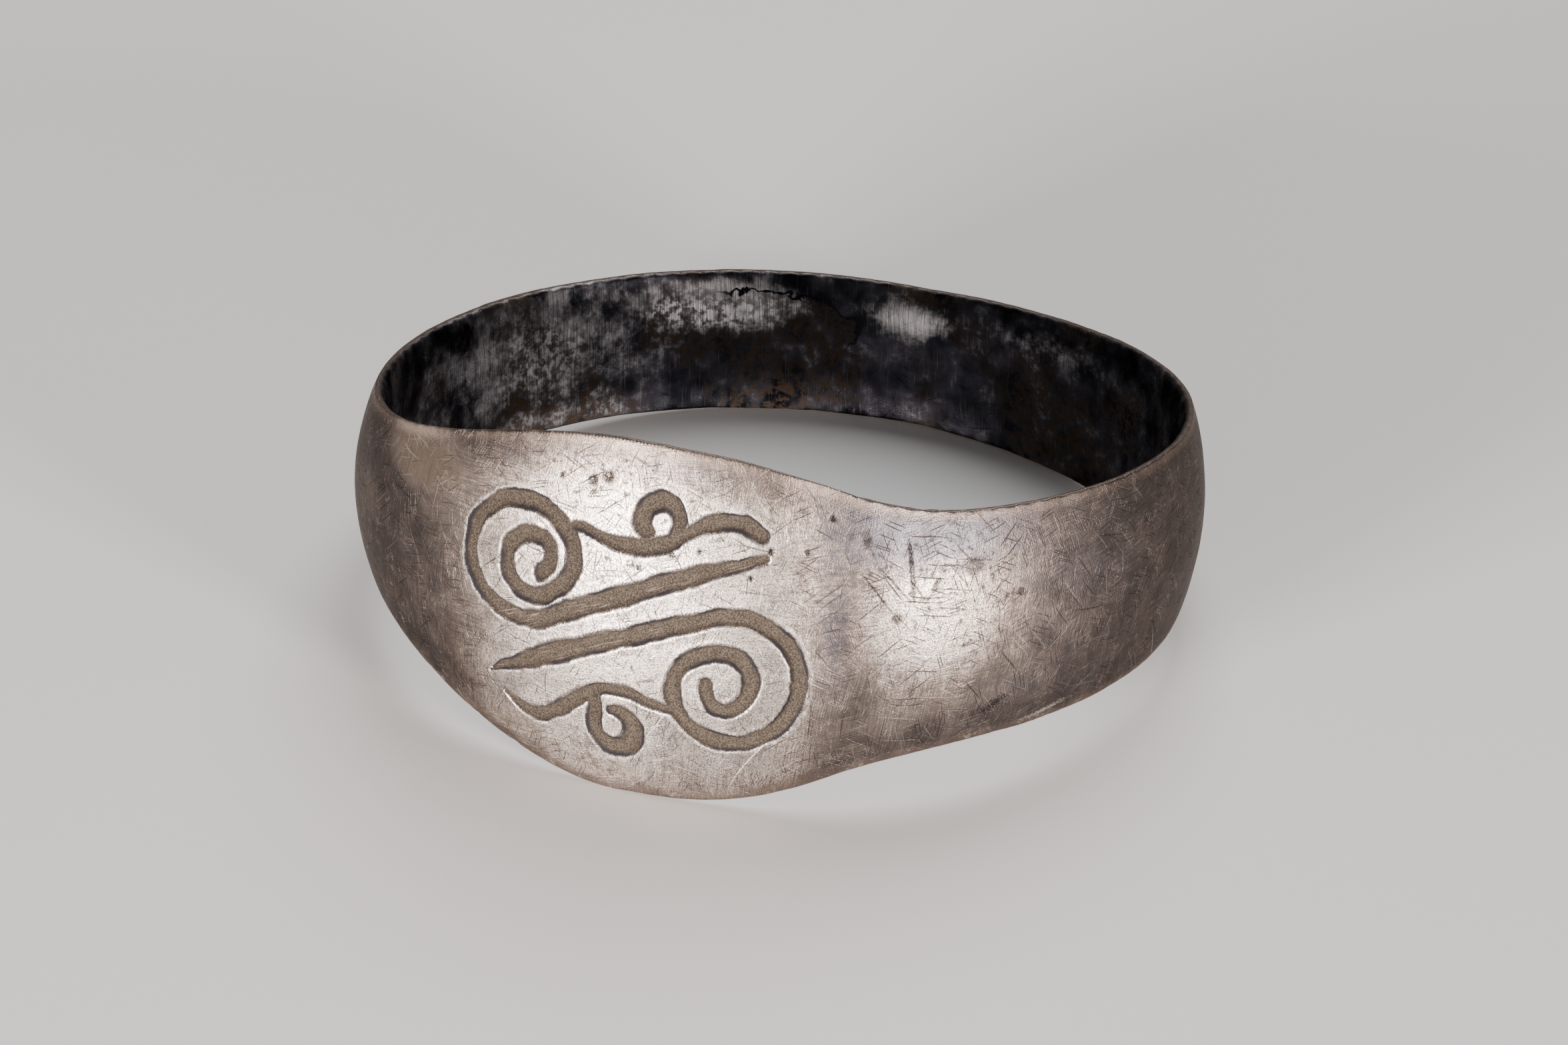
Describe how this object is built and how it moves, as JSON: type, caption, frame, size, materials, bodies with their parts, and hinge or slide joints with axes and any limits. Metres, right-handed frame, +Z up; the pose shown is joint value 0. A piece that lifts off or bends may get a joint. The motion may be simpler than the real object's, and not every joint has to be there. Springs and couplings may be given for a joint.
{
  "type": "finger ring",
  "caption": "Engraved silver finger ring, a tapering band with a leaf-shaped bezel, lying loose on its lower rim.",
  "frame": {"origin": "middle of the ring's box, on the surface it lies on", "axes": "+Z up from that surface, the engraved bezel faces -Y"},
  "size_m": [0.0212, 0.0208, 0.0092],
  "materials": {
    "worn_silver": "worn silver, scratched, with brown deposit in the engraving and dark tarnish inside"
  },
  "bodies": {
    "root": {"ring": "worn_silver"}
  },
  "joints": []
}
